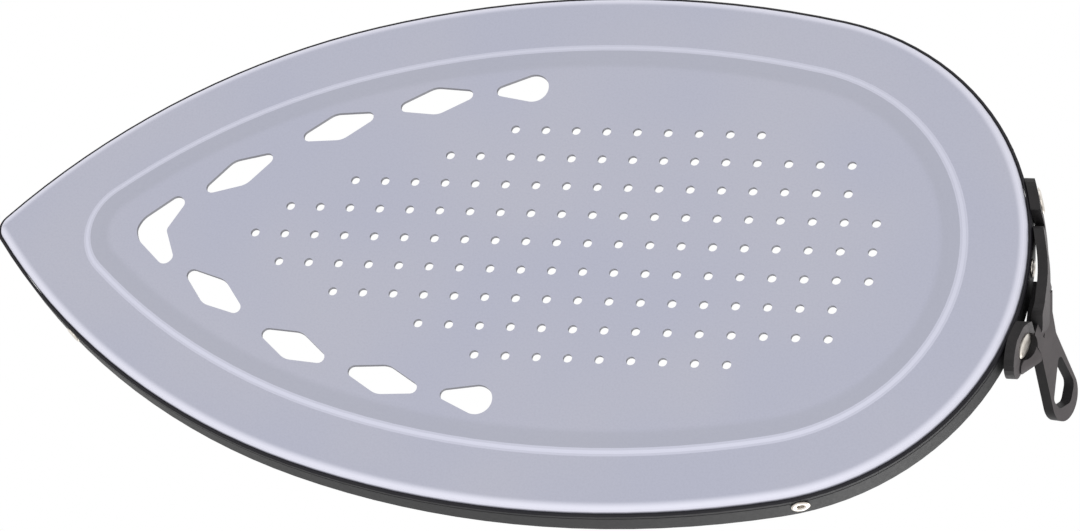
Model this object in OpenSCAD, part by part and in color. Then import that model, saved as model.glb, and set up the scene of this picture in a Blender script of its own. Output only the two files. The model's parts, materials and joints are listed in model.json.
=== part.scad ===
/* [Sheet outline] */
// Radius of the rounded heel
heel_radius = 59.42; // [50:0.01:70]
// Radius of the long side arc beside the heel
belly_radius = 216.86; // [200:0.01:230]
// Radius of the side arc that runs to the tip
bow_radius = 163.61; // [155:0.01:170]
// Radius of the rounded tip
tip_radius = 3.885; // [2.5:0.005:6]

/* [Sheet section] */
// Thickness of the pressed sheet
sheet_thickness = 0.8; // [0.5:0.1:1.2]
// Distance of the pressed step from the sheet's edge
step_inset = 13.5; // [10:0.1:16]
// Width over which the face steps back
step_width = 1.7; // [1:0.1:3]
// How far the border is set back from the holed panel
step_height = 0.5; // [0.2:0.05:0.8]
// Depth of the shallow hollow just inside the step
hollow_depth = 0.2; // [0.1:0.05:0.3]
// Width of the shallow hollow
hollow_width = 5; // [3:0.5:8]
// Radius of the step line's side arc that runs to its tip
step_bow_radius = 151.86; // [148:0.01:154]
// Radius of the step line's own rounded tip
step_tip_radius = 13.02; // [10:0.02:16]
// Outer radius of the turned edge
edge_bend_radius = 1.8; // [1.2:0.1:2]
// Height of the turned-up flange above the holed panel
flange_top = 7.6; // [6.5:0.1:8]

/* [Steam holes] */
// Diameter of one steam hole
steam_hole_diameter = 2; // [1:0.1:3]
// Distance between neighbouring steam holes
hole_pitch = 7; // [6.5:0.1:7.2]

/* [Cut-outs] */
// Radius at the narrow ends of the lozenge cut-outs
lozenge_end_radius = 1.4; // [0.6:0.1:1.5]
// Radius at the wide corners of the lozenge cut-outs
lozenge_side_radius = 4.3; // [1:0.1:5]
// Radius of the large end of the drop cut-outs
drop_large_radius = 3.5; // [2.5:0.1:4]
// Radius of the small end of the drop cut-outs
drop_small_radius = 1.4; // [0.5:0.1:1.5]

/* [Frame band] */
// Clearance between the flange and the frame
frame_clearance = 0.1; // [0.05:0.05:0.2]
// Wall thickness of the frame
frame_thickness = 0.6; // [0.5:0.1:1.5]
// Height of the frame's lower edge above the holed panel
frame_bottom = 1.8; // [1.2:0.1:2.2]
// Height of the frame's upper edge above the holed panel
frame_top = 8.5; // [8.4:0.1:10]
// Height of the bead along the frame's lower edge
bead_height = 1.1; // [0.8:0.1:1.5]
// Depth of the fine groove above the bead
groove_depth = 0.2; // [0.1:0.05:0.3]
// Width of the fine groove above the bead
groove_width = 0.3; // [0.2:0.05:0.5]

/* [Rim eyelets] */
// Outer diameter of an eyelet's rolled flange
eyelet_flange_diameter = 4; // [3.5:0.1:4.2]
// Outer diameter of an eyelet's tube
eyelet_tube_diameter = 2.4; // [2.2:0.1:2.6]
// Diameter of the hole through an eyelet
eyelet_bore = 1.7; // [1.2:0.1:1.8]
// Height of the eyelets above the holed panel
eyelet_height = 4.8; // [4.6:0.1:5.2]
// Direction of the side eyelets from the heel arc's centre
side_eyelet_angle = 73.1; // [65:0.1:76]
// Direction of the tip eyelets from the bow arc's centre
tip_eyelet_angle = 129.2; // [120:0.1:133]

/* [Strap] */
// Thickness of the strap
strap_thickness = 2.15; // [1.8:0.05:2.2]
// Widest gap between the strap and the frame
strap_gap = 1.9; // [1.6:0.05:2.1]
// Radius of the strap's rounded ends
lobe_radius = 5.8; // [5:0.1:6]
// Width of the pull loop
loop_width = 11; // [10:0.1:12]
// Thickness of the pull loop
loop_thickness = 2.4; // [1.8:0.1:2.5]
// Sideways tilt of the pull loop towards the left side
loop_tilt = 23.9; // [20:0.1:26]
// Outward lean of the pull loop
loop_lean = 10.2; // [8:0.1:12]
// Turn of the pull loop's face towards the left side
loop_turn = 19.1; // [16:0.1:21]
// Lift of the left rounded end away from the frame
lobe_lift = 9; // [4:0.5:11]

/* [Strap rivets] */
// Diameter of a strap rivet's head
rivet_head_diameter = 5.7; // [5:0.1:6]
// Diameter of a strap rivet's shank
rivet_shank_diameter = 2.4; // [2.2:0.1:2.6]
// Height of the strap rivets above the holed panel
rivet_height = 6.8; // [6.5:0.1:7]
// Direction of the strap rivets from the heel arc's centre
rivet_angle = 16.2; // [15.5:0.1:16.5]

/* [Hidden] */
$fa = 4;
$fs = 0.5;
round_steps = 6;

function unit(a) = [cos(a), sin(a)];
function unit_vector(v) = v / norm(v);
function cross_vector(a, b) = [a[1] * b[2] - a[2] * b[1],
                               a[2] * b[0] - a[0] * b[2],
                               a[0] * b[1] - a[1] * b[0]];

// The arcs meet where the line through both centres crosses them, and these
// whole-number directions keep the centres and the joints at short decimals
heel_joint = [9, 40] / 41;
belly_joint = [-7, 24] / 25;
heel_end_angle = atan2(heel_joint[1], heel_joint[0]);
belly_end_angle = atan2(belly_joint[1], belly_joint[0]);
belly_centre = (heel_radius - belly_radius) * heel_joint;
bow_centre = belly_centre + (belly_radius - bow_radius) * belly_joint;
step_belly_radius = belly_radius - step_inset;
step_bow_centre = belly_centre + (step_belly_radius - step_bow_radius) * belly_joint;
function tip_x(c, reach) = c[0] - sqrt(reach * reach - c[1] * c[1]);
tip_centre = [tip_x(bow_centre, bow_radius - tip_radius), 0];
step_tip_centre = [tip_x(step_bow_centre, step_bow_radius - step_tip_radius), 0];
function end_angle(c, tip) = atan2(-c[1], tip[0] - c[0]);
bow_end_angle = end_angle(bow_centre, tip_centre);
step_end_angle = end_angle(step_bow_centre, step_tip_centre);
frame_outset = frame_clearance + frame_thickness;
// The strap's inner face lies just clear of the frame
strap_clearance = 0.02;
wall_radius = heel_radius + frame_outset + strap_clearance;
// Underside of a strap rivet's head, from the sheet's outline
rivet_head_seat = frame_outset + strap_thickness + 0.05;

// Middle of the steam holes, from the heel arc's centre
hole_centre_x = -43.5;

// Directions of the pull loop: along it, across it and out of its face
loop_along = [sin(loop_lean), cos(loop_lean) * sin(loop_tilt), cos(loop_lean) * cos(loop_tilt)];
loop_side = unit_vector(cross_vector(loop_along, [cos(loop_turn), sin(loop_turn), 0]));
loop_out = cross_vector(loop_side, loop_along);

// Centre of the pull loop's round end, on its outer face
loop_centre = [66.3, 18.8, 24.5];
loop_end_shift = 1.6;
loop_radius = loop_width / 2;
loop_reach = loop_radius * norm([loop_along[0], loop_side[0]]);
part_heel_x = loop_centre[0] + loop_end_shift * loop_along[0] + loop_reach;
part_tip_x = tip_centre[0] - tip_radius - frame_outset;
origin_x = (part_heel_x + part_tip_x) / 2;

// Points of an arc about c, without its first point
function arc_points(c, r, a0, a1, n = 16) =
    [for (i = [1 : n]) c + r * unit(a0 + (a1 - a0) * i / n)];
// One side of the sheet's outline, set in by d
function outline_half(d) = concat(
    arc_points([0, 0], heel_radius - d, 0, heel_end_angle),
    arc_points(belly_centre, belly_radius - d, heel_end_angle, belly_end_angle),
    arc_points(bow_centre, bow_radius - d, belly_end_angle, bow_end_angle));
// Just short of the middle line, where the two halves of the step line join
last_angle = 176;
// One side of the step line, set in by d
function step_half(d) = concat(
    arc_points([0, 0], heel_radius - step_inset - d, 0, heel_end_angle),
    arc_points(belly_centre, step_belly_radius - d, heel_end_angle, belly_end_angle),
    arc_points(step_bow_centre, step_bow_radius - d, belly_end_angle, step_end_angle),
    arc_points(step_tip_centre, step_tip_radius - d, step_end_angle, last_angle));
function whole(half) = concat(half, [for (i = [len(half) - 1 : -1 : 0]) [half[i][0], -half[i][1]]]);

// Corner fillet of a polygon: the points that replace corner b
function fillet(a, b, c, r) = let(
    u = unit_vector(a - b),
    v = unit_vector(c - b),
    half = acos(u * v) / 2,
    m = unit_vector(u + v),
    centre = b + m * r / sin(half),
    s = b + u * r / tan(half),
    e = b + v * r / tan(half),
    a0 = atan2(s[1] - centre[1], s[0] - centre[0]),
    raw = atan2(e[1] - centre[1], e[0] - centre[0]) - a0,
    turn = raw > 180 ? raw - 360 : raw < -180 ? raw + 360 : raw)
    [for (i = [0 : round_steps]) centre + r * unit(a0 + turn * i / round_steps)];
function rounded(pts, radii) = let(n = len(pts))
    [for (i = [0 : n - 1]) each fillet(pts[(i + n - 1) % n], pts[i], pts[(i + 1) % n], radii[i])];

// Sweeps a profile round a closed line of arcs: a whole ring about each centre,
// kept between the lines on which its arc meets the next ones
module round_line(radii, bow_c, tip_c) {
    far = 120;
    // Points beyond the outline on the lines through neighbouring centres
    joint_a = far / heel_joint[1] * heel_joint;
    joint_b = belly_centre + (far - belly_centre[1]) / belly_joint[1] * belly_joint;
    joint_c = 2 * tip_c - bow_c;
    ring_sector([0, 0], radii[0],
                [[0, 0], [joint_a[0], -far], [far, -far], [far, far], joint_a])
        children();
    for (side = [0, 1])
        mirror([0, side, 0]) {
            ring_sector(belly_centre, radii[1], [belly_centre, joint_a, joint_b])
                children();
            ring_sector(bow_c, radii[2], [bow_c, joint_b, [joint_c[0], far], joint_c])
                children();
        }
    ring_sector(tip_c, radii[3], [tip_c, joint_c, [joint_c[0], -joint_c[1]]])
        children();
}

// Height above and below the panel that holds every swept profile
sweep_room = 20;

module ring_sector(c, r, wedge) {
    intersection() {
        translate([c[0], c[1], 0])
            rotate_extrude()
                intersection() {
                    translate([r, 0])
                        children();
                    translate([0, -sweep_room])
                        square([2 * belly_radius, 2 * sweep_room]);
                }
        translate([0, 0, -sweep_room])
            linear_extrude(2 * sweep_room)
                polygon(wedge);
    }
}

// Sweeps a profile round the sheet's outline
module round_outline() {
    round_line([heel_radius, belly_radius, bow_radius, tip_radius], bow_centre, tip_centre)
        children();
}

// Sweeps a profile round the step line
module round_step() {
    round_line([heel_radius - step_inset, step_belly_radius, step_bow_radius, step_tip_radius],
               step_bow_centre, step_tip_centre)
        children();
}

// Outer face of the sheet between the hollow and the border, from the step line
step_half_width = step_width / 2;
hollow_start = -step_half_width - hollow_width;
step_face = [[hollow_start - 1, 0],
             [hollow_start, 0],
             [hollow_start + hollow_width * 0.3, hollow_depth * 0.75],
             [hollow_start + hollow_width * 0.5, hollow_depth],
             [hollow_start + hollow_width * 0.7, hollow_depth * 0.75],
             [-step_half_width, 0],
             [-step_half_width * 0.4, step_height * 0.2],
             [step_half_width * 0.4, step_height * 0.8],
             [step_half_width, step_height],
             [step_half_width + 1, step_height]];

module step_profile() {
    raised = [for (i = [len(step_face) - 1 : -1 : 0]) step_face[i] + [0, sheet_thickness]];
    polygon(concat(step_face, raised));
}

// Turned edge of the sheet, from the outline
module edge_profile() {
    bend_centre = [-edge_bend_radius, step_height + edge_bend_radius];
    inner_radius = edge_bend_radius - sheet_thickness;
    polygon(concat([[-edge_bend_radius - 2, step_height],
                    [-edge_bend_radius, step_height]],
                   arc_points(bend_centre, edge_bend_radius, -90, 0, round_steps),
                   [[0, flange_top],
                    [-sheet_thickness, flange_top],
                    [-sheet_thickness, bend_centre[1]]],
                   arc_points(bend_centre, inner_radius, 0, -90, round_steps),
                   [[-edge_bend_radius - 2, step_height + sheet_thickness]]));
}

// Columns of steam holes in each row, counted from the middle column
hole_rows = [[0, -10, 10], [1, -9, 10], [2, -7, 9], [3, -4, 9], [4, -2, 6]];

module steam_holes() {
    for (row = hole_rows)
        for (side = row[0] == 0 ? [1] : [-1, 1])
            for (column = [row[1] : row[2]])
                translate([hole_centre_x + column * hole_pitch, side * row[0] * hole_pitch])
                    circle(d = steam_hole_diameter, $fn = 24);
}

// Corners of the cut-outs, from the middle of the steam holes
arrow_corners = [[-98.5, 0], [-97.6, 2.7], [-89.9, 9.5], [-88.1, 6.9], [-91.3, 0],
                 [-88.1, -6.9], [-89.9, -9.5], [-97.6, -2.7]];
arrow_radii = [2.9, 5.1, 1.8, 1.5, 1.5, 1.5, 1.8, 5.1];
lozenges = [[[-86.5, 8.5], [-78.8, 18.2], [-67.2, 21.4], [-74.7, 12.1]],
            [[-66.3, 23.3], [-57, 31], [-44.9, 32], [-54.2, 24.2]],
            [[-44.9, 32.1], [-34.5, 38.5], [-22.3, 37.7], [-32.8, 31.3]]];
lozenge_radii = [lozenge_end_radius, lozenge_side_radius, lozenge_end_radius, lozenge_side_radius];
drop_large = [-11.6, 38.7];
drop_small = [-18.6, 37.8];

// Drop shape: the arcs of its two ends, joined by the lines that touch both
module drop() {
    along = drop_large - drop_small;
    heading = atan2(along[1], along[0]);
    spread = acos((drop_large_radius - drop_small_radius) / norm(along));
    first_side = heading + spread - 180;
    other_side = heading + 180 - spread;
    polygon(concat(
        [drop_large + drop_large_radius * unit(first_side)],
        arc_points(drop_large, drop_large_radius, first_side, other_side, 28),
        [drop_small + drop_small_radius * unit(other_side)],
        arc_points(drop_small, drop_small_radius, other_side, first_side + 360, 12)));
}

module cut_outs() {
    translate([hole_centre_x, 0]) {
        polygon(rounded(arrow_corners, arrow_radii));
        for (side = [0, 1])
            mirror([0, side]) {
                for (corners = lozenges)
                    polygon(rounded(corners, lozenge_radii));
                drop();
            }
    }
}

module sole_plate() {
    color("silver")
        placed()
            difference() {
                union() {
                    linear_extrude(sheet_thickness)
                        polygon(whole(step_half(-hollow_start + 0.5)));
                    round_step()
                        step_profile();
                    translate([0, 0, step_height])
                        linear_extrude(sheet_thickness)
                            difference() {
                                polygon(whole(outline_half(edge_bend_radius + 1)));
                                polygon(whole(step_half(-step_half_width - 0.5)));
                            }
                    round_outline()
                        edge_profile();
                }
                translate([0, 0, -1])
                    linear_extrude(sheet_thickness + 2) {
                        steam_holes();
                        cut_outs();
                    }
                each_eyelet()
                    fastener_hole(eyelet_tube_diameter);
                each_strap_rivet()
                    fastener_hole(rivet_shank_diameter);
            }
}

// Section of the frame, from the sheet's outline
module frame_profile() {
    bead_top = frame_bottom + bead_height;
    corner = 0.3;
    polygon([[frame_clearance, frame_bottom],
             [frame_outset - corner, frame_bottom],
             [frame_outset, frame_bottom + corner],
             [frame_outset, bead_top],
             [frame_outset - groove_depth, bead_top + groove_width / 2],
             [frame_outset, bead_top + groove_width],
             [frame_outset, frame_top - corner],
             [frame_outset - corner, frame_top],
             [frame_clearance, frame_top]]);
}

module frame_band() {
    color("dimgray")
        placed()
            difference() {
                round_outline()
                    frame_profile();
                each_eyelet()
                    fastener_hole(eyelet_tube_diameter);
                each_strap_rivet()
                    fastener_hole(rivet_shank_diameter);
            }
}

// Puts children on the frame's wall: local z points outward, origin on the sheet's outline
module on_wall(c, r, a, height) {
    translate([c[0], c[1], height])
        rotate([0, 0, a])
            translate([r, 0, 0])
                rotate([0, 90, 0])
                    children();
}

module heel_eyelet_place() {
    on_wall([0, 0], heel_radius, 0, eyelet_height)
        children();
}

module side_eyelet_place(side) {
    mirror([0, side, 0])
        on_wall([0, 0], heel_radius, side_eyelet_angle, eyelet_height)
            children();
}

module tip_eyelet_place(side) {
    mirror([0, side, 0])
        on_wall(bow_centre, bow_radius, tip_eyelet_angle, eyelet_height)
            children();
}

module strap_rivet_place(side) {
    mirror([0, side, 0])
        on_wall([0, 0], heel_radius, rivet_angle, rivet_height)
            children();
}

module each_eyelet() {
    heel_eyelet_place()
        children();
    for (side = [0, 1]) {
        side_eyelet_place(side)
            children();
        tip_eyelet_place(side)
            children();
    }
}

module each_strap_rivet() {
    for (side = [0, 1])
        strap_rivet_place(side)
            children();
}

// Hole through every wall, from well inside the sheet to well outside the strap
hole_inside = 3;
hole_length = 12;

module fastener_hole(d) {
    translate([0, 0, -hole_inside])
        cylinder(d = d, h = hole_length, $fn = 32);
}

// Tubular eyelet with a rolled flange on both sides of the wall
module eyelet() {
    inner_face = -sheet_thickness - 0.1;
    outer_face = frame_outset + 0.05;
    roll = 0.35;
    flange_radius = eyelet_flange_diameter / 2;
    bore_radius = eyelet_bore / 2;
    tube_radius = eyelet_tube_diameter / 2;
    rotate_extrude($fn = 48)
        polygon([[bore_radius, inner_face - roll],
                 [flange_radius - 0.3, inner_face - roll],
                 [flange_radius - 0.2, inner_face],
                 [tube_radius, inner_face],
                 [tube_radius, outer_face],
                 [flange_radius, outer_face],
                 [flange_radius, outer_face + roll * 0.5],
                 [flange_radius - 0.35, outer_face + roll],
                 [bore_radius + 0.35, outer_face + roll],
                 [bore_radius, outer_face + roll * 0.4]]);
}

// Solid rivet: domed head outside the strap, formed head inside the sheet's flange
module strap_rivet() {
    inner_face = -sheet_thickness - 0.2;
    head_radius = rivet_head_diameter / 2;
    shank_radius = rivet_shank_diameter / 2;
    inner_head = 0.7;
    head_rim = 0.25;
    head_height = 0.55;
    rotate_extrude($fn = 64)
        polygon([[0, inner_face - inner_head],
                 [head_radius - 1, inner_face - inner_head],
                 [head_radius - 0.6, inner_face - inner_head / 2],
                 [head_radius - 0.6, inner_face],
                 [shank_radius, inner_face],
                 [shank_radius, rivet_head_seat],
                 [head_radius, rivet_head_seat],
                 [head_radius, rivet_head_seat + head_rim],
                 [head_radius - 0.5, rivet_head_seat + head_height * 0.85],
                 [head_radius - 1.3, rivet_head_seat + head_height],
                 [0, rivet_head_seat + head_height]]);
}

module rim_eyelet_heel() {
    color("silver")
        placed()
            heel_eyelet_place()
                eyelet();
}

module rim_eyelet_side_left() {
    color("silver")
        placed()
            side_eyelet_place(0)
                eyelet();
}

module rim_eyelet_side_right() {
    color("silver")
        placed()
            side_eyelet_place(1)
                eyelet();
}

module rim_eyelet_tip_left() {
    color("silver")
        placed()
            tip_eyelet_place(0)
                eyelet();
}

module rim_eyelet_tip_right() {
    color("silver")
        placed()
            tip_eyelet_place(1)
                eyelet();
}

module strap_rivet_left() {
    color("gainsboro")
        placed()
            strap_rivet_place(0)
                strap_rivet();
}

module strap_rivet_right() {
    color("gainsboro")
        placed()
            strap_rivet_place(1)
                strap_rivet();
}

// Plan of the strap's inner face: a run on the wall, a straight, a wide arc,
// a flat crest, then two tight arcs back to the wall
strap_bottom = 1;
strap_height = 13;
lobe_end_angle = 24;
lobe_run = 10;
crest_x = wall_radius + strap_gap;
crest_start_y = 6;
crest_end_y = 9;
right_leave_angle = 13;
left_leave_angle = 15.5;
// Place just past the left rivet, from which the rounded end lifts off
lift_angle = rivet_angle + 1.7;
// Wide arc that ends at the crest and shares its other tangent with the wall
wide_radius = (wall_radius - crest_x * cos(right_leave_angle) + crest_start_y * sin(right_leave_angle))
            / (1 - cos(right_leave_angle));
// Two equal tight arcs that leave the crest and meet the wall: their radius is
// the positive root of a quadratic
return_x = crest_x - wall_radius * cos(left_leave_angle);
return_y = wall_radius * sin(left_leave_angle) - crest_end_y;
root_a = 2 - 2 * cos(left_leave_angle);
root_b = 2 * return_x * (1 + cos(left_leave_angle)) - 2 * return_y * sin(left_leave_angle);
root_c = -return_x * return_x - return_y * return_y;
tight_radius = (sqrt(root_b * root_b - 4 * root_a * root_c) - root_b) / (2 * root_a);
tight_angle = atan2(return_y + tight_radius * sin(left_leave_angle),
                    tight_radius * (1 + cos(left_leave_angle)) - return_x);
tight_centre = [crest_x - tight_radius, crest_end_y];
back_centre = tight_centre + 2 * tight_radius * unit(tight_angle);

// One face of the strap in plan, set outward by d, from the right end to the
// left end, which runs on straight and lifts off the frame
function strap_line(d, steps = 8) =
    concat(arc_points([0, 0], wall_radius + d, -lobe_end_angle, -right_leave_angle, steps),
           arc_points([crest_x - wide_radius, crest_start_y], wide_radius + d,
                      -right_leave_angle, 0, steps * 2),
           arc_points(tight_centre, tight_radius + d, 0, tight_angle, steps),
           arc_points(back_centre, tight_radius - d, 180 + tight_angle, 180 + left_leave_angle, steps),
           [(wall_radius + d) * unit(lift_angle),
            (wall_radius + d) * unit(lift_angle) + lobe_run * unit(rivet_angle + 90 - lobe_lift)]);

module strap_run() {
    outer = strap_line(strap_thickness);
    translate([0, 0, strap_bottom])
        linear_extrude(strap_height)
            polygon(concat(strap_line(0), [for (i = [len(outer) - 1 : -1 : 0]) outer[i]]));
}

// Front view of the strap's run: corners as sideways place and height
lobe_y = (wall_radius + strap_thickness / 2) * sin(rivet_angle);
right_end = -lobe_y - lobe_radius + 1;
left_end = lobe_y + lobe_radius + 1.6;
lobe_low = rivet_height - lobe_radius;
lobe_high = rivet_height + lobe_radius;
front_corners = [[right_end, lobe_low],
                 [-12.1, lobe_low],
                 [-12.1, 8.2],
                 [-10.6, 8.2],
                 [-8.6, strap_bottom],
                 [11.4, strap_bottom],
                 [12.9, 8.6],
                 [14.4, 8.6],
                 [14.4, lobe_low],
                 [left_end, lobe_low],
                 [left_end, lobe_high],
                 [8.4, lobe_high],
                 [3.2, 6],
                 [-4, 6],
                 [-11, lobe_high - 1],
                 [right_end, lobe_high]];
front_radii = [5.4, 0.4, 0.7, 0.7, 3, 3, 0.7, 0.7, 0.4, 5.4, 5.4, 2, 4, 4, 6, 5.4];

module strap_front() {
    reach = 40;
    translate([reach, 0, 0])
        rotate([90, 0, 90])
            linear_extrude(reach)
                polygon(rounded(front_corners, front_radii));
}

// Outline of the pull loop: place along it and across it, from the loop's centre
loop_neck = 3.6;
neck_start = -13;
// Angle round the loop's end at which each flank touches it
flank_angle = atan2(loop_neck, neck_start - loop_end_shift)
            - acos(loop_radius / norm([neck_start - loop_end_shift, loop_neck]));

module loop_shape() {
    end_centre = [loop_end_shift, 0];
    polygon(concat([end_centre + loop_radius * unit(-flank_angle)],
                   arc_points(end_centre, loop_radius, -flank_angle, flank_angle, 40),
                   [[neck_start, loop_neck],
                    [neck_start - 5, loop_neck + 1],
                    [neck_start - 9, -loop_neck + 1],
                    [neck_start - 9, -loop_neck - 3.2],
                    [neck_start - 5, -loop_neck - 1],
                    [neck_start, -loop_neck]]));
}

// Corners of the hole in the pull loop
hole_corners = [[-8.6, -2.6], [1.6, -4.6], [4.4, -1.2], [2.6, 3.2], [-0.6, 4.4]];
hole_radii = [1, 2.4, 1.6, 1.6, 1.6];

// Lays children in the pull loop's plane: x along it, y across it, z = 0 its outer face
module loop_place() {
    multmatrix([[loop_along[0], loop_side[0], loop_out[0], loop_centre[0]],
                [loop_along[1], loop_side[1], loop_out[1], loop_centre[1]],
                [loop_along[2], loop_side[2], loop_out[2], loop_centre[2]]])
        translate([0, 0, -loop_thickness])
            children();
}

module pull_loop() {
    loop_place()
        linear_extrude(loop_thickness)
            difference() {
                loop_shape();
                polygon(rounded(hole_corners, hole_radii));
            }
}

// Web of rubber that carries the left rounded end over into the pull loop's neck
module loop_web() {
    hull() {
        strap_rivet_place(0)
            rotate([lobe_lift, 0, 0])
                translate([-3.9, 3.2, frame_outset + strap_clearance])
                    cylinder(r = 1.9, h = strap_thickness, $fn = 32);
        loop_place()
            translate([-12.3, 2.2, 0])
                cylinder(r = 1.4, h = loop_thickness, $fn = 32);
        loop_place()
            translate([-17, 1.5, 0])
                cylinder(r = 1.4, h = loop_thickness, $fn = 32);
    }
}

// Room round a strap rivet's head
module rivet_seat() {
    translate([0, 0, rivet_head_seat])
        cylinder(d = rivet_head_diameter + 0.4, h = 6, $fn = 48);
}

// Inner lip that reaches over the frame
module catch_lip() {
    translate([59.2, 0.5, 9.9])
        cube([4.2, 13, 2.4]);
}

module strap() {
    color("black")
        placed()
            difference() {
                union() {
                    intersection() {
                        strap_run();
                        strap_front();
                    }
                    pull_loop();
                    loop_web();
                    catch_lip();
                }
                each_strap_rivet() {
                    fastener_hole(rivet_shank_diameter);
                    rivet_seat();
                }
            }
}

module placed() {
    translate([-origin_x, 0, 0])
        children();
}

sole_plate();
frame_band();
strap();
rim_eyelet_heel();
rim_eyelet_side_left();
rim_eyelet_side_right();
rim_eyelet_tip_left();
rim_eyelet_tip_right();
strap_rivet_left();
strap_rivet_right();
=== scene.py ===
# %% [markdown]
# An iron shoe is a thin pressed sheet that clips under a steam iron and keeps
# the hot sole off delicate cloth. This lesson starts from its measured solids,
# gives each one the finish of the real piece, and lights and frames it as in
# the reference picture: from below, with the coated face towards us.
# The shapes are already right, so nothing here moves or resizes them. What is
# left for Blender is the surface: the soft sheen of the coating, the satin
# black rim, the matt rubber strap, and the bright rivets and eyelets.

# %% Load the measured solids
import json
import math

import bpy
from mathutils import Matrix, Vector


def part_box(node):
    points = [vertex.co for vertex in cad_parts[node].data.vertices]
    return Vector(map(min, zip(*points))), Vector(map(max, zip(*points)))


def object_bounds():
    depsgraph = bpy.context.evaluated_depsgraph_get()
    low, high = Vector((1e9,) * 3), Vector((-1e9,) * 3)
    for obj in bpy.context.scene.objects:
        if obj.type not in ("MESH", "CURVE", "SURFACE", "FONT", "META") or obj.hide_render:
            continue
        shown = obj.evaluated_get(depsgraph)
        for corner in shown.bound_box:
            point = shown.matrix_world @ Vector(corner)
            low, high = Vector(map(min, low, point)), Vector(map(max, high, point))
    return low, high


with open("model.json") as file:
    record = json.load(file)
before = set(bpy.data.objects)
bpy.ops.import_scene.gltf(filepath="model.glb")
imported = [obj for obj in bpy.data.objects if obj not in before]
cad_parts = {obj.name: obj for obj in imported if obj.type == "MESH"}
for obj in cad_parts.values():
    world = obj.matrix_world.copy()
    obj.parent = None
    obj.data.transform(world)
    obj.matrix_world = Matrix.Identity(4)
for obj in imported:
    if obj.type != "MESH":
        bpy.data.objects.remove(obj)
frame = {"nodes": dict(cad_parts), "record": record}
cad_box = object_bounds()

scene = bpy.context.scene
scene.view_settings.view_transform = "Standard"
pieces = frame["nodes"]
MM = 0.001
print("pieces:", len(pieces), "- box in mm:", [[round(v / MM, 1) for v in corner] for corner in cad_box])

# %% [markdown]
# A finish is mostly sums, such as a base value plus some grain times a mask. As
# separate node boxes such sums are hard to read. So one small class wraps a
# socket and gives it the usual operators, and each operator adds its Math node.
# The reflected forms make `1 - mask` work too.


# %% Sockets that work like numbers
class Value:
    """A number, colour or vector that changes over the surface."""

    def __init__(self, graph, socket):
        self.graph = graph
        self.socket = socket

    def math(self, operation, *others):
        sockets = {0: self, **dict(enumerate(others, 1))}
        return self.graph.node("ShaderNodeMath", {"operation": operation}, sockets)

    def __add__(self, other):
        return self.math("ADD", other)

    def __sub__(self, other):
        return self.math("SUBTRACT", other)

    def __rsub__(self, other):
        return self * -1 + other

    def __mul__(self, other):
        return self.math("MULTIPLY", other)

    def __truediv__(self, other):
        return self.math("DIVIDE", other)

    def __gt__(self, other):
        return self.math("GREATER_THAN", other)

    def __lt__(self, other):
        return self.math("LESS_THAN", other)

    __radd__ = __add__
    __rmul__ = __mul__

    def ramp(self, low, high):
        """0 up to low, 1 from high on, and a smooth step between."""
        sockets = {"Value": self, "From Min": low, "From Max": high}
        return self.graph.node("ShaderNodeMapRange", {"interpolation_type": "SMOOTHSTEP"}, sockets)


# %% [markdown]
# One method adds every other node: its type, its settings, and what goes into
# its sockets. Materials and the world share it, because both are node trees.
# A few more methods give names to what the finishes below are made of: a
# place, a direction, soft noise of a real size, a blend of two colours.


# %% Node trees
class Graph:
    """A node tree of a material or of the world."""

    def __init__(self, tree):
        self.tree = tree

    def node(self, kind, settings=None, sockets=None, output=0):
        made = self.tree.nodes.new(kind)
        for name, setting in (settings or {}).items():
            setattr(made, name, setting)
        for key, value in (sockets or {}).items():
            if isinstance(value, Value):
                self.tree.links.new(value.socket, made.inputs[key])
            else:
                made.inputs[key].default_value = value
        return Value(self, made.outputs[output])

    def link(self, value, socket):
        self.tree.links.new(value.socket, socket)

    def place(self):
        """Where the point is on the object, in metres."""
        return self.node("ShaderNodeNewGeometry", output="Position")

    def facing(self):
        """Which way the surface faces there."""
        return self.node("ShaderNodeNewGeometry", output="Normal")

    def axis(self, vector, letter):
        return self.node("ShaderNodeSeparateXYZ", None, {0: vector}, letter)

    def noise(self, size_mm, detail=2.0, stretch=(1, 1, 1)):
        """Soft blotches of about the given size, from 0 to 1."""
        scale = [along / (size_mm * MM) for along in stretch]
        spread = self.node("ShaderNodeVectorMath", {"operation": "MULTIPLY"}, {0: self.place(), 1: scale})
        return self.node("ShaderNodeTexNoise", None, {"Vector": spread, "Scale": 1.0, "Detail": detail})

    def blend(self, mask, low, high):
        """One colour where the mask is 0, and another where it is 1."""
        first, second = (shade if isinstance(shade, Value) else (*shade, 1.0) for shade in (low, high))
        settings = {"data_type": "RGBA"}
        return self.node("ShaderNodeMix", settings, {0: mask, 6: first, 7: second}, 2)

    def relief(self, height, depth_mm, strength=1.0):
        """A normal for relief that is too fine to model, from a height of 0 to 1."""
        sockets = {"Height": height, "Strength": strength, "Distance": depth_mm * MM}
        return self.node("ShaderNodeBump", None, sockets)


class Finish(Graph):
    """A material with one shader. What is the same all over is set when it is made."""

    def __init__(self, name, **fixed):
        self.material = bpy.data.materials.new(name)
        self.material.use_nodes = True
        super().__init__(self.material.node_tree)
        self.shader = self.tree.nodes["Principled BSDF"]
        for name, value in fixed.items():
            self.shader.inputs[name.replace("_", " ")].default_value = value

    def feed(self, **varying):
        for name, value in varying.items():
            self.link(value, self.shader.inputs[name.replace("_", " ")])


def screen(*levels):
    """Turns screen levels from 0 to 255 into the linear colour that shaders use."""
    return tuple(((level / 255 + 0.055) / 1.055) ** 2.4 for level in levels)


print("a screen grey of 128 is", round(screen(128)[0], 3), "in linear light")

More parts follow.
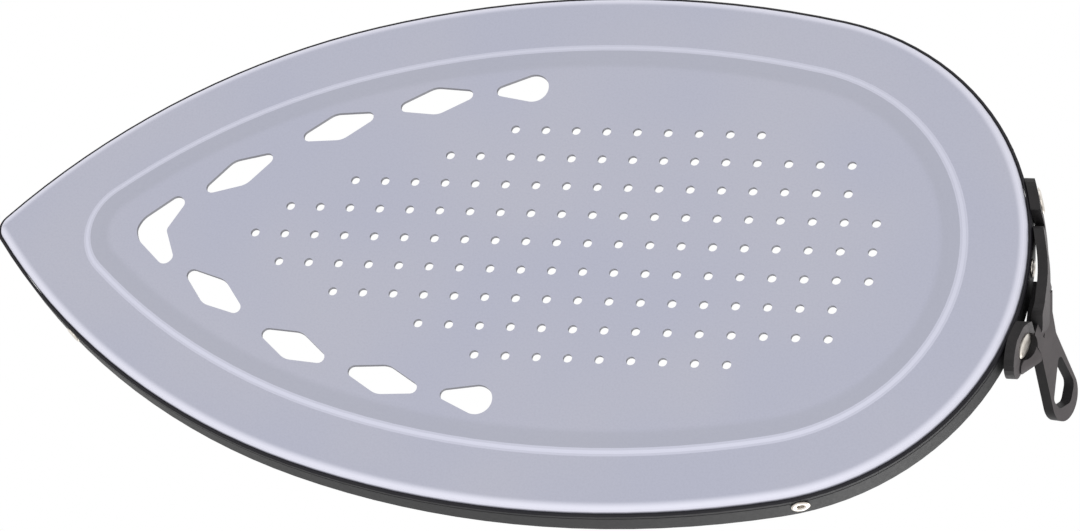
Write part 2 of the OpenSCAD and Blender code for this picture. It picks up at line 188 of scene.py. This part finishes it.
# %% [markdown]
# The sheet's outline is a chain of arcs that touch smoothly: the round heel, the
# long side, and the run to the tip. To paint the highlight along the rim, a
# finish needs the distance from that outline. On one arc that is the arc's radius
# less the distance from its centre. Which arc counts is decided by the line
# through the two centres, because neighbouring arcs meet on it. These are the
# numbers that the sheet is drawn with, and its box says where the heel's centre lies.

# %% Distance from the sheet's edge
HEEL_RADIUS, SIDE_RADIUS, TIP_RUN_RADIUS = 59.42, 216.86, 163.61
HEEL_TO_SIDE = Vector((9, 40)) / 41
SIDE_TO_TIP_RUN = Vector((-7, 24)) / 25
heel_centre = Vector((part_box("sole_plate")[1].x / MM - HEEL_RADIUS, 0))
side_centre = heel_centre - (SIDE_RADIUS - HEEL_RADIUS) * HEEL_TO_SIDE
tip_run_centre = side_centre + (SIDE_RADIUS - TIP_RUN_RADIUS) * SIDE_TO_TIP_RUN


def from_edge(finish):
    """Distance in millimetres from the sheet's outline, growing inward."""
    place = finish.place()
    x = finish.axis(place, "X") / MM
    y = (finish.axis(place, "Y") / MM).math("ABSOLUTE")

    def inside(centre, radius):
        across, along = x - centre.x, y - centre.y
        return radius - (across * across + along * along).math("SQRT")

    def beyond(centre, line):
        """1 on the tip's side of a line through a centre, else 0."""
        return (line.x * (y - centre.y) - line.y * (x - centre.x)) > 0

    past_heel = beyond(heel_centre, HEEL_TO_SIDE)
    past_side = beyond(side_centre, SIDE_TO_TIP_RUN)
    by_tip_run = past_side * inside(tip_run_centre, TIP_RUN_RADIUS)
    by_side = (1 - past_side) * inside(side_centre, SIDE_RADIUS)
    by_heel = (1 - past_heel) * inside(heel_centre, HEEL_RADIUS)
    return past_heel * (by_tip_run + by_side) + by_heel


print("heel centre at x =", round(heel_centre.x, 2), "mm")

# %% [markdown]
# The sheet is pressed aluminium with a grey non-stick coating: matt, faintly
# violet, and speckled very finely. The step and the turned edge are painted
# paler, as painted highlights: these are the two pale lines. The shallow hollow
# just inside the step is painted a little darker, as painted shade.
# The solid already has that relief, so these masks are read off it: how steep
# the surface is, which way it leans, and how high above the holed panel it lies.
# They follow the press marks exactly, with nothing to line up by hand.
# The inner face has no coating, so the bare metal shows there.


# %% Coated sheet
def coated_sheet():
    finish = Finish("coated_sheet", IOR=1.45, Specular_IOR_Level=0.4)
    place, facing = finish.place(), finish.facing()
    height = finish.axis(place, "Z") / MM
    facing_up = finish.axis(facing, "Z")
    steep = 1 - facing_up.math("ABSOLUTE")
    outward = finish.node("ShaderNodeVectorMath", {"operation": "MULTIPLY"}, {0: place, 1: (1, 1, 0)})
    lean = finish.node("ShaderNodeVectorMath", {"operation": "DOT_PRODUCT"}, {0: outward, 1: facing}, "Value")
    pressed = height < 0.56
    inner_wall = (lean < 0) * (height > 1.4)
    outside = (1 - facing_up.ramp(0.1, 0.5)) * (1 - inner_wall)

    # painted highlight: the step is painted paler
    step_highlight = steep.ramp(0.005, 0.03) * pressed
    # painted shade: the shallow hollow just inside the step is painted darker
    dip_shade = height.ramp(0.02, 0.19) * (height < 0.215)
    hollow_shade = dip_shade.math("MAXIMUM", (lean * -1 / MM).ramp(0.2, 2.0)) * (1 - step_highlight) * pressed
    # painted highlight: a paler band along the turned edge
    edge_highlight = 1 - from_edge(finish).ramp(0.7, 2.4)
    # painted shade: darker where the edge turns under towards the rim
    turned_under_shade = height.ramp(1.25, 1.9)
    # painted shade: the walls of the cut holes are painted darker
    cut_wall_shade = (steep > 0.9) * (height < 0.85)

    speckle = finish.noise(0.45, 3.0)
    drift = finish.noise(42, 1.0)
    coat = finish.blend(drift.ramp(0.3, 0.7), screen(179, 181, 198), screen(183, 184, 198))
    coat = finish.blend(speckle.ramp(0.35, 0.75) * 0.2, coat, screen(158, 160, 177))
    coat = finish.blend(hollow_shade * 0.5, coat, screen(166, 168, 181))
    coat = finish.blend(step_highlight, coat, screen(214, 215, 231))
    coat = finish.blend(edge_highlight, coat, screen(232, 232, 246))
    coat = finish.blend(turned_under_shade, coat, screen(96, 96, 106))
    coat = finish.blend(cut_wall_shade, coat, screen(122, 122, 130))

    rolled = finish.noise(0.5, 3.0, stretch=(0.08, 1, 1))
    metal = finish.blend(rolled, screen(200, 201, 204), screen(172, 173, 178))
    finish.feed(
        Base_Color=finish.blend(outside, metal, coat),
        Metallic=(1 - outside) * 0.9,
        Roughness=0.5 + 0.14 * (speckle - 0.5) - 0.08 * edge_highlight - 0.1 * (1 - outside) * rolled,
        Normal=finish.relief(speckle, 0.02, 0.4),
    )
    return finish.material


# %% [markdown]
# The rim is a painted band. Black paint on a real rim is satin with a fine
# orange peel. Its outer wall and lower bead are painted greyer, as a painted
# reflection, and the groove above the bead is painted near black, as painted shade.


# %% Black rim
def rim_black():
    finish = Finish("rim_black", IOR=1.45, Specular_IOR_Level=0.22)
    height = finish.axis(finish.place(), "Z") / MM
    peel = finish.noise(0.8, 2.0)
    drift = finish.noise(16, 2.0)
    # painted reflection on the upper wall, painted shade in the groove below it
    wall_reflection = height.ramp(3.1, 3.7)
    # painted reflection: the lower bead is painted greyer
    bead_reflection = 1 - height.ramp(1.9, 2.5)
    paint = finish.blend(wall_reflection, screen(11, 10, 14), screen(33, 33, 34))
    paint = finish.blend(bead_reflection, paint, screen(30, 29, 34))
    paint = finish.blend(drift.ramp(0.4, 0.7) * 0.3, paint, screen(44, 43, 44))
    finish.feed(
        Base_Color=paint,
        Roughness=0.42 + 0.14 * peel + 0.08 * drift,
        Normal=finish.relief(peel, 0.03, 0.35),
    )
    return finish.material


# %% [markdown]
# Moulded rubber is dark but never quite black. Its skin is matt with a fine
# grain, and a little dust makes broad patches paler. The outer face is painted
# greyer than the sides, as a painted sheen, and dust makes that sheen vary.


# %% Rubber strap
def strap_rubber():
    finish = Finish("strap_rubber", IOR=1.45, Specular_IOR_Level=0.25)
    grain = finish.noise(0.3, 3.0)
    dust = finish.noise(5, 3.0)
    # painted sheen: the face towards +X is painted paler
    outer_sheen = finish.axis(finish.facing(), "X").ramp(0.45, 0.85)
    rubber = finish.blend(dust.ramp(0.35, 0.75), screen(24, 23, 24), screen(34, 32, 33))
    rubber = finish.blend(outer_sheen * (0.75 + 0.4 * (dust - 0.5)), rubber, screen(104, 99, 100))
    rubber = finish.blend(grain.ramp(0.5, 0.8) * 0.25, rubber, screen(66, 63, 64))
    finish.feed(
        Base_Color=rubber,
        Roughness=0.42 + 0.14 * grain + 0.1 * dust,
        Normal=finish.relief(grain, 0.04, 0.45),
    )
    return finish.material


# %% [markdown]
# Rivets and eyelets are plated steel: bright, with fine marks from the tool
# that set them and a warm stain here and there. They are only a few millimetres
# across, so the marks are kept small and weak.


# %% Plated fasteners
def fastener_steel():
    finish = Finish("fastener_steel")
    marks = finish.noise(0.4, 3.0)
    stain = finish.noise(1.8, 2.0)
    finish.feed(
        Base_Color=finish.blend(stain.ramp(0.4, 0.75) * 0.6, screen(222, 216, 208), screen(172, 161, 149)),
        Metallic=1 - 0.15 * stain,
        Roughness=0.24 + 0.2 * marks,
        Normal=finish.relief(marks, 0.02, 0.3),
    )
    return finish.material


# %% [markdown]
# Each solid keeps its mesh and gets a material. A solid arrives as patches that
# share no edge, so the edges between patches stay crisp. Within a patch, round
# walls have to shade smoothly. So every face is smooth, and an edge that turns
# by more than a given angle is marked sharp.

# %% Dress the solids
finishes = {make.__name__: make() for make in (coated_sheet, rim_black, strap_rubber, fastener_steel)}
slots = {part["node"]: part["material_slot"] for part in frame["record"]["subparts"]}
CREASE = math.radians(33)

for name, piece in sorted(pieces.items()):
    mesh = piece.data
    mesh.materials.clear()
    mesh.materials.append(finishes[slots[name]])
    mesh.shade_smooth()
    mesh.set_sharp_from_angle(angle=CREASE)
    print(name, "-", slots[name])

# %% [markdown]
# The picture looks up at the coated face, so the camera is below the object.
# Three directions give its turn: right and down in the picture, and straight
# ahead. Blender's camera looks along its own -Z with +Y up, so these directions,
# with signs to match, are the columns of its matrix. Its place counts from the
# centre of the heel's arc.

# %% Camera
PICTURE_WIDTH = 1080
FOCAL_PIXELS = 3730.2
SENSOR_MM = 36.0
camera_place = Vector((heel_centre.x + 179.304, 363.844, -693.041)) * MM
picture_right = Vector((0.960067, -0.157920, 0.230937))
picture_down = Vector((0.032970, 0.883569, 0.467138))
ahead = picture_right.cross(picture_down)

camera = bpy.data.objects.new("camera", bpy.data.cameras.new("camera"))
camera.data.sensor_width = SENSOR_MM
camera.data.lens = FOCAL_PIXELS / PICTURE_WIDTH * SENSOR_MM
turn = Matrix((picture_right, -picture_down, -ahead)).transposed()
camera.matrix_world = Matrix.Translation(camera_place) @ turn.to_4x4()
scene.collection.objects.link(camera)
scene.camera = camera
print("lens:", round(camera.data.lens, 1), "mm, distance:", round(camera_place.length / MM), "mm")

# %% [markdown]
# The object stands on its holed face on a pale floor, and this camera looks up
# from under that floor. So the floor is there only for a camera ray that meets
# its upper face. Light, reflections and the view from below pass through it.
# Seen from above it is a normal floor, which shows the object's shadow.


# %% Floor
def pale_floor():
    finish = Finish("floor_pale", Base_Color=(0.9, 0.9, 0.9, 1.0), Roughness=0.9)
    seen = finish.node("ShaderNodeLightPath", output="Is Camera Ray")
    underside = finish.node("ShaderNodeNewGeometry", output="Backfacing")
    clear = finish.node("ShaderNodeBsdfTransparent")
    solid = Value(finish, finish.shader.outputs[0])
    shown = finish.node("ShaderNodeMixShader", None, {0: seen * (1 - underside), 1: clear, 2: solid})
    finish.link(shown, finish.tree.nodes["Material Output"].inputs["Surface"])
    return finish.material


HALF_FLOOR = 3.0
FLOOR_GAP = 0.1 * MM
floor_mesh = bpy.data.meshes.new("floor")
corners = [(x * HALF_FLOOR, y * HALF_FLOOR, 0) for x, y in ((-1, -1), (1, -1), (1, 1), (-1, 1))]
floor_mesh.from_pydata(corners, [], [(0, 1, 2, 3)])
floor_mesh.materials.append(pale_floor())
floor = bpy.data.objects.new("floor", floor_mesh)
floor.location.z = cad_box[0][2] - FLOOR_GAP
scene.collection.objects.link(floor)
print("floor:", 2 * HALF_FLOOR, "m wide")

# %% [markdown]
# The picture has a pure white background and very soft light. The world is
# white where the camera, a reflection or a clear material sees it, and dimmer
# where it lights the object. Large soft lamps add the rest: two below, for the
# face that the picture shows, and one above.

# %% World
DAYLIGHT = 0.6
world = bpy.data.worlds.new("studio")
world.use_nodes = True
sky = Graph(world.node_tree)
seen = sky.node("ShaderNodeLightPath", output="Is Camera Ray")
for path in ("Is Glossy Ray", "Is Transmission Ray"):
    seen = seen.math("MAXIMUM", sky.node("ShaderNodeLightPath", output=path))
background = sky.tree.nodes["Background"]
background.inputs["Color"].default_value = (1.0, 1.0, 1.0, 1.0)
sky.link(DAYLIGHT + (1 - DAYLIGHT) * seen, background.inputs["Strength"])
scene.world = world
print("world lights at", DAYLIGHT)


# %% Lamps
def soft_lamp(name, place, size, power):
    """A square lamp that faces the middle of the object."""
    lamp = bpy.data.lights.new(name, "AREA")
    lamp.size = size
    lamp.energy = power
    made = bpy.data.objects.new(name, lamp)
    made.location = place
    made.rotation_euler = (-Vector(place)).to_track_quat("-Z", "Y").to_euler()
    scene.collection.objects.link(made)


soft_lamp("lamp_below", (0.2, 1.0, -1.0), 1.2, 8.0)
soft_lamp("lamp_below_far", (-0.3, -0.9, -1.1), 1.2, 5.0)
soft_lamp("lamp_above", (0.5, 0.6, 1.4), 1.2, 12.0)
print("lamps: 3")
